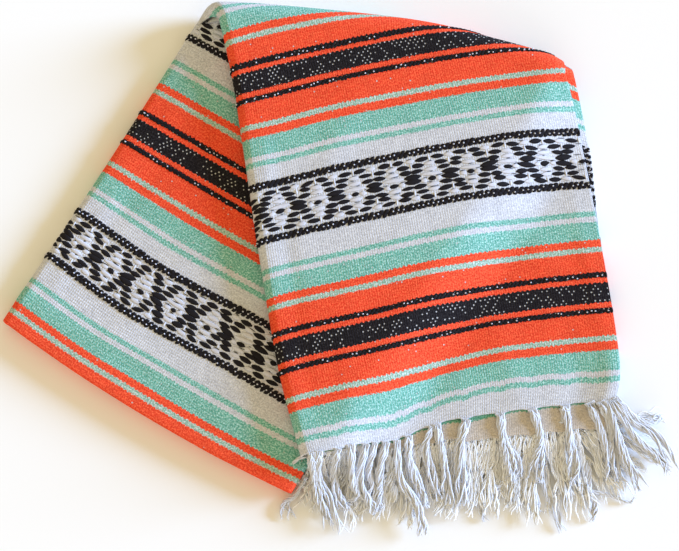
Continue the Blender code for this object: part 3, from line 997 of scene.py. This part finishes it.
def braid_marks(t, u_range, white_share, pitch=5.6 * MM, width=4.5 * MM, apart=2.1 * MM,
                lean=0.5):
    """One braided line: two rows of leaning beads on a core, and white eyes in it."""
    beads, eyes = [], []
    for number in range(int((u_range[1] - u_range[0]) / pitch)):
        u = u_range[0] + (number + 0.5) * pitch
        beads.append((u, t, pitch * 1.7, width * 0.9, 1.2 * MM, 0.0))
        for side in (-1, 1):
            beads.append((u + side * pitch / 4 + wobble(0.3 * MM),
                          t + side * apart + wobble(0.3 * MM), pitch * 1.2,
                          width + wobble(0.4 * MM), 1.9 * MM, lean + wobble(0.2)))
        if chance.random() < white_share:
            eyes.append((u + pitch / 2 + wobble(0.5 * MM), t + wobble(0.7 * MM), 2.1 * MM,
                         1.8 * MM, 4.0 * MM, 0.0))
    return beads, eyes


def from_pattern(marks, to_v):
    """Marks placed by t, turned into marks placed by v."""
    return [(u, float(to_v(u, t)), *rest) for u, t, *rest in marks]


# %% Figures and braids of every run
def inverse_of(pattern, black, rounds):
    """A function that says how far up the cloth a pattern measures t."""
    def to_v(u, t):
        v = t + black
        for _ in range(rounds):
            v = v + t - pattern(np.float64(u), np.float64(v))
        return v
    return to_v


front_v = inverse_of(front_pattern, FRONT_BLACK, 3)
lower_v = inverse_of(lower_pattern, LOWER_BLACK, 4)
second_v = inverse_of(second_pattern, FRONT_BLACK, 4)


def weave_black(name, cloth, to_v, figures, braids, u_range, warp, first_diamond):
    """All the black yarn that floats on one stretch of cloth, and the white eyes in it."""
    black, white = [], []
    for middle in figures:
        floats, specks_and_shade_lines, ticks, fill = figure_marks(first_diamond, DIAMONDS, warp, u_range)
        lines = [braid_marks(side * BRAID, u_range, 0.75) for side in (-1, 1)]
        for marks in (floats, specks_and_shade_lines, *(line[0] for line in lines)):
            black += [(u, t + middle, *rest) for u, t, *rest in marks]
        for marks in (ticks, fill, *(line[1] for line in lines)):
            white += [(u, t + middle, *rest) for u, t, *rest in marks]
    for t in braids:
        beads, eyes = braid_marks(t, u_range, 0.35, pitch=4.6 * MM, width=3.2 * MM,
                                  apart=0.9 * MM, lean=0.3)
        black += beads
        white += eyes
    return (stamp(f"{name}_black_yarn", float_shape, cloth, from_pattern(black, to_v),
                  black_yarn),
            stamp(f"{name}_white_eyes", float_shape, cloth, from_pattern(white, to_v),
                  white_yarn))


LINE = 20 * MM              # from the black band's middle to the thin line beside it
UNDER_ROLL = -21 * MM       # how far round the left roll the black yarn is drawn
DIAMONDS = 11               # more than fit across the strip; the rest are dropped
front_yarn = weave_black("front", front, front_v, (FIGURE_MIDDLE,),
                         (-LINE, LINE, REPEAT - LINE, REPEAT + LINE - 1 * MM),
                         (UNDER_ROLL, front.u[-1] + 3.5 * MM), WARP, -22.4 * MM)
# beads on the second layer's selvedge: mm from the figured band's middle
EDGE_BEADS = (-24, -15, -7, 2, 9, 17, 24)
edge_beads = [FIGURE_MIDDLE + away * MM for away in EDGE_BEADS]
second_yarn = weave_black("second", second, second_v, (FIGURE_MIDDLE,), edge_beads,
                          (front.u[-1] - 8 * MM, second.u[-1] + 2 * MM), WARP,
                          -18 * MM)
lower_yarn = weave_black("lower", lower, lower_v, (FIGURE_MIDDLE - REPEAT, FIGURE_MIDDLE),
                         (-LINE, LINE), (UNDER_ROLL, lower.u[-1] - 1 * MM), 5.29 * MM,
                         -22.5 * MM)

# %% [markdown]
# ## The fringe
# At each end the warp is left uncut and knotted in bundles of some six to twenty cotton
# yarns. A bundle is thick at its knot, narrow below it, and opens at its end. Each yarn
# could be simulated, but a bundle that has been lying for a while is easier to draw: one
# smooth route for the bundle, and every yarn winding about it a little. The front bundles
# are placed one by one, since they are what is seen, and the ones below them fill the pile
# at random.

# %% Bundles of the front hem, placed one by one
# share across the hem; points that the bundle passes, x and y in mm; strands; width of
# its open end in mm; turns of twist
FRONT_BUNDLES = (
    (0.005, ((-27, -228), (-18, -253), (-6, -277)), 5, 15, 0.6),
    (0.03, ((-22, -226), (-10, -250), (2, -288)), 4, 8, 0.5),
    (0.09, ((-7, -222), (-2, -240), (10, -262)), 4, 8, 0.5),
    (0.13, ((14, -229), (18, -243), (11, -253)), 5, 7, 1.2),
    (0.18, ((21, -226), (30, -248), (38, -264)), 5, 9, 0.9),
    (0.21, ((31, -218), (35, -238), (33, -256)), 3, 6, 1.4),
    (0.245, ((42, -221), (41, -240), (44, -262)), 5, 8, 1.2),
    (0.28, ((64, -224), (79, -249), (85, -268), (91, -286)), 4, 6, 0.4),
    (0.32, ((74, -206), (84, -233), (93, -260)), 5, 9, 0.6),
    (0.40, ((91, -193), (98, -219), (108, -252)), 4, 9, 0.5),
    (0.415, ((109, -199), (112, -226), (117, -256)), 5, 9, 0.5),
    (0.51, ((128, -193), (128, -226), (129, -258)), 7, 13, 0.3),
    (0.62, ((174, -184), (186, -206), (191, -226)), 6, 9, 0.5),
    (0.625, ((173, -190), (180, -213), (190, -229)), 2, 6, 0.3),
    (0.725, ((213, -179), (211, -204), (207, -232)), 6, 11, 0.6),
    (0.83, ((239, -165), (231, -176)), 5, 8, 0.5),
    (0.835, ((245, -182), (249, -210), (246, -236)), 5, 8, 0.5),
    (0.91, ((279, -176), (284, -204), (291, -228)), 7, 12, 0.3),
    (0.945, ((289, -170), (293, -198), (298, -232)), 6, 12, 0.3),
    (0.97, ((297, -186), (310, -216), (322, -240)), 5, 12, 0.4),
    (0.985, ((311, -164), (331, -176), (350, -202), (356, -222)), 5, 13, 0.4),
    (0.995, ((317, -162), (333, -164), (346, -156)), 5, 14, 0.5),
    (0.98, ((313, -180), (336, -200), (352, -218)), 5, 13, 0.4),
)
# loose yarns and tassels: start height, then their points, strands, end width
LOOSE_YARNS = (
    (6, ((262, -236), (282, -238), (295, -243), (308, -251), (320, -246)), 1, 3),
    (8, ((263, -205), (265, -231), (268, -251), (269, -272)), 4, 6),
    (8, ((209, -210), (219, -237), (229, -259), (240, -282)), 2, 3),
    (7, ((203, -222), (210, -248), (214, -263)), 1, 3),
    (10, ((-36, -222), (-47, -241), (-57, -251), (-54, -271)), 3, 7),
    (28, ((-33, -203), (-47, -208), (-48, -220), (-37, -232), (-26, -224)), 1, 1),
    (14, ((-16, -214), (-10, -228), (2, -240), (22, -244)), 1, 3),
    (9, ((183, -216), (168, -233), (146, -243)), 3, 14),
    (9, ((150, -214), (146, -238), (154, -274)), 2, 6),
    (8, ((196, -216), (188, -238), (182, -259)), 3, 10),
)
# share across the strip, then how far the fringe reaches: x and y in mm
FRINGE_REACH = ((0.0, -37, -268), (0.13, 1, -277), (0.32, 64, -270), (0.5, 125, -275),
                (0.68, 190, -272), (0.8, 240, -280), (0.9, 296, -262), (0.96, 350, -212),
                (1.0, 354, -148))
YARN = 1.0 * MM             # radius of one fringe yarn
FALL = 0.4                  # share of its length by which a bundle has come down
ROUTE_STEPS = 8             # steps between two points that a bundle passes
# knot and neck: share of the bundle's length, reach, how much thicker (+) or thinner (-)
SWELLS = ((0.1, 0.05, 0.35), (0.22, 0.06, -0.3))


def bundle(route, start_height, rest_heights, strands, width, turns, ply=3, depth=0.6):
    """One bundle: a few strands laid together, and two or three yarns twisted in each.

    Returns a list of yarns, each with a row of x, y, z and radius for every step.
    """
    line = np.array([tuple(p) for p in smooth_line(route, ROUTE_STEPS)])
    t = np.linspace(0, 1, len(line))
    away = unit(np.gradient(line, axis=0))
    side = np.stack([-away[:, 1], away[:, 0]], axis=1)
    middle = rest_heights[0] + (rest_heights[1] - rest_heights[0]) * t
    level = start_height + (middle - start_height) * ease(t / FALL)
    at_hem = 1 - np.clip(t / 0.12, 0, 1)
    swell = np.ones(len(t))
    for at, reach, rise in SWELLS:
        swell += rise * np.exp(-((t - at) / reach) ** 2)
    opening = np.clip((t - 0.3) / 0.7, 0, 1) ** 1.4
    ring = (1.0 + 0.36 * strands) * MM * swell * (1 - 0.3 * t)
    found = []
    for strand in range(strands):
        place = (strand + 0.5) / strands * 2 - 1
        turn = 2 * math.pi * (turns * t + (strand + 0.5 * chance.random()) / strands)
        drift = width / 2 * MM * (place + chance.normal(0, 0.3)) * opening
        curl = 2.6 * MM * t * np.sin(2 * math.pi * (t * (0.6 + 1.1 * chance.random())
                                                     + chance.random()))
        sideways = (ring * np.cos(turn) * (1 - at_hem) + drift + curl
                    + place * (1 + 0.55 * strands) * MM * at_hem)
        upward = ring * np.sin(turn) * depth * (1 - at_hem)
        spin = 2.0 + 1.4 * chance.random()
        for yarn in np.arange(ply) / ply:
            own = 2 * math.pi * (spin * t + yarn)
            stray = chance.normal(0, 2.4 * MM) * np.clip((t - 0.6) / 0.4, 0, 1) ** 2
            crimp = 1.0 * MM * np.sin(2 * math.pi * (t * (3 + 2 * chance.random())
                                                      + chance.random()))
            across = sideways + 1.1 * MM * np.cos(own) + stray + crimp * t
            high = np.maximum(level + upward + depth * MM * np.sin(own), YARN * 1.1)
            length = 1 - 0.35 * chance.random() ** 2
            keep = t <= length
            points = np.column_stack([line + side * across[:, None], high])[keep]
            thick = YARN * np.clip((length - t[keep]) / 0.12, 0.35, 1.0)
            found.append(np.column_stack([points, thick]))
    return found


def yarn_object(name, yarns, material):
    """Every yarn as one poly curve with a round section, turned into a single mesh."""
    curve = bpy.data.curves.new(name, "CURVE")
    curve.dimensions = "3D"
    curve.bevel_depth = 1.0
    curve.bevel_resolution = 1
    curve.use_fill_caps = True
    for points in yarns:
        spline = curve.splines.new("POLY")
        spline.points.add(len(points) - 1)
        for target, (x, y, z, thick) in zip(spline.points, points):
            target.co, target.radius = (x, y, z, 1), thick
    drawn = placed(name + "_curve", curve)
    graph = bpy.context.evaluated_depsgraph_get()
    mesh = bpy.data.meshes.new_from_object(drawn.evaluated_get(graph))
    bpy.data.objects.remove(drawn)
    mesh.name = name
    mesh.materials.clear()
    mesh.materials.append(material)
    mesh.shade_smooth()
    obj = placed(name, mesh)
    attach(obj, "root")
    print(name, len(yarns), "yarns,", len(mesh.polygons), "faces")
    return obj


# painted light and shade: the front bundles' cotton is darker, to hold down their highlights,
# and the cotton of the piles below is brighter and bluer, to lift the shade between their
# yarns
cotton = yarn_material("fringe_cotton", (0.71, 0.73, 0.79), (0.64, 0.66, 0.73), 0.8)
brightened_cotton = yarn_material("brightened_cotton", (0.93, 0.955, 1.0), (0.90, 0.925, 0.99), 0.8)


def hem_start(cloth, share):
    """Where a bundle leaves a hem: x and y in mm before centring, and its height."""
    u = np.array([front.u[-1] * share])
    v = np.interp(u, cloth.u, cloth.v[:, 0])
    x, y, z = cloth.at(u, v)[0][0]
    return (x - CENTRING[0]) / MM, (y - CENTRING[1]) / MM, z


front_yarns = []
for share, passes, count, width, turns in FRONT_BUNDLES:
    x, y, z = hem_start(front, share)
    front_yarns += bundle(((x, y + 1), *passes), z + 0.6 * MM, (20 * MM, 11 * MM),
                          count, width, turns)
for height, points, count, width in LOOSE_YARNS:
    front_yarns += bundle(points, height * MM, (height * 0.8 * MM, 4 * MM), count, width, 0.5)
front_fringe = yarn_object("front_fringe_yarns", front_yarns, cotton)
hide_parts("front_fringe")

# %% Bundles of the second hem and of the pile below
def random_pile(cloth, count, below, heights, strands, reach, width):
    """Bundles spread along a hem, each reaching towards the outline of the pile."""
    found = []
    for number in range(count):
        share = min(max((number + 0.5 + chance.normal(0, 0.25)) / count, 0), 1)
        x, y, z = hem_start(cloth, share)
        xy = np.array([x, y + 1])
        table = list(zip(*FRINGE_REACH))
        tip = np.array([np.interp(share, table[0], table[k]) for k in (1, 2)])
        far = reach * (1 - 0.25 * chance.random() ** 2)
        lean = chance.normal(0, 7, 2)
        passes = [xy + (tip - xy) * far * part + lean * bend + chance.normal(0, 1.5, 2)
                  for part, bend in ((0.3, 0.4), (0.65, 1.0), (1.0, 0.9))]
        found += bundle((tuple(xy), *map(tuple, passes)), z - below, heights,
                        strands, width * (0.8 + 0.5 * chance.random()),
                        0.4 + 0.6 * chance.random(), 2, 0.2)
    return found


second_fringe = yarn_object("second_fringe_yarns",
                            random_pile(second, 46, 1.5 * MM, (11 * MM, 7 * MM), 4, 0.92, 16),
                            brightened_cotton)
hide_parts("second_fringe")
under_fringe = yarn_object("under_fringe_yarns",
                           random_pile(second, 66, 6 * MM, (8 * MM, 4 * MM), 3, 0.90, 20),
                           brightened_cotton)
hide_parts("under_fringe")

# %% [markdown]


# %% [markdown]
# ## Floor, light and camera
# The blanket lies on a plain pale floor. The light is soft and cool from the upper right,
# with a warm fill all round, so the side away from the light turns a warm tan. A weak low
# light from the front opens the shadows between the yarns of the fringe.

# %% Floor
bm = bmesh.new()
bmesh.ops.create_grid(bm, x_segments=1, y_segments=1, size=12.0)
floor = placed("floor", finished_mesh("floor", bm))
floor_material, _, floor_surface = new_material("pale_floor")
set_inputs(floor_surface, {"Base Color": (0.98, 0.98, 0.98, 1), "Roughness": 1.0,
                           "Specular IOR Level": 0.0})
floor.data.materials.append(floor_material)

# %% Light
world = bpy.data.worlds.new("studio")
bpy.context.scene.world = world
world.use_nodes = True
set_inputs(world.node_tree.nodes["Background"],
           {"Color": (0.76, 0.63, 0.38, 1), "Strength": 0.94})


def distant_light(name, energy, angle, colour, direction):
    """A far light; direction points from the blanket to the light."""
    sun = bpy.data.lights.new(name, "SUN")
    sun.energy, sun.angle, sun.color = energy, math.radians(angle), colour
    light = placed(name, sun)
    light.rotation_euler = Vector(direction).to_track_quat("Z", "Y").to_euler()


distant_light("key", 7.5, 22, (0.42, 0.62, 1.0), (0.92, 0.20, 0.245))
distant_light("front_fill", 0.75, 40, (0.80, 0.86, 1.0), (0.10, -0.95, 0.26))

# %% Camera
ELEVATION, DISTANCE = math.radians(76), 1.80
VIEW_WIDTH = 746.9 * MM     # width of the view, at the blanket
camera_data = bpy.data.cameras.new("camera")
camera_data.sensor_width = 36.0
camera_data.lens = camera_data.sensor_width * DISTANCE / VIEW_WIDTH
camera = placed("camera", camera_data)
camera.location = CENTRING + DISTANCE * Vector((0, -math.cos(ELEVATION),
                                                math.sin(ELEVATION)))
camera.rotation_euler = (math.radians(90) - ELEVATION, 0, 0)
bpy.context.scene.camera = camera
bpy.context.scene.view_settings.view_transform = "Standard"
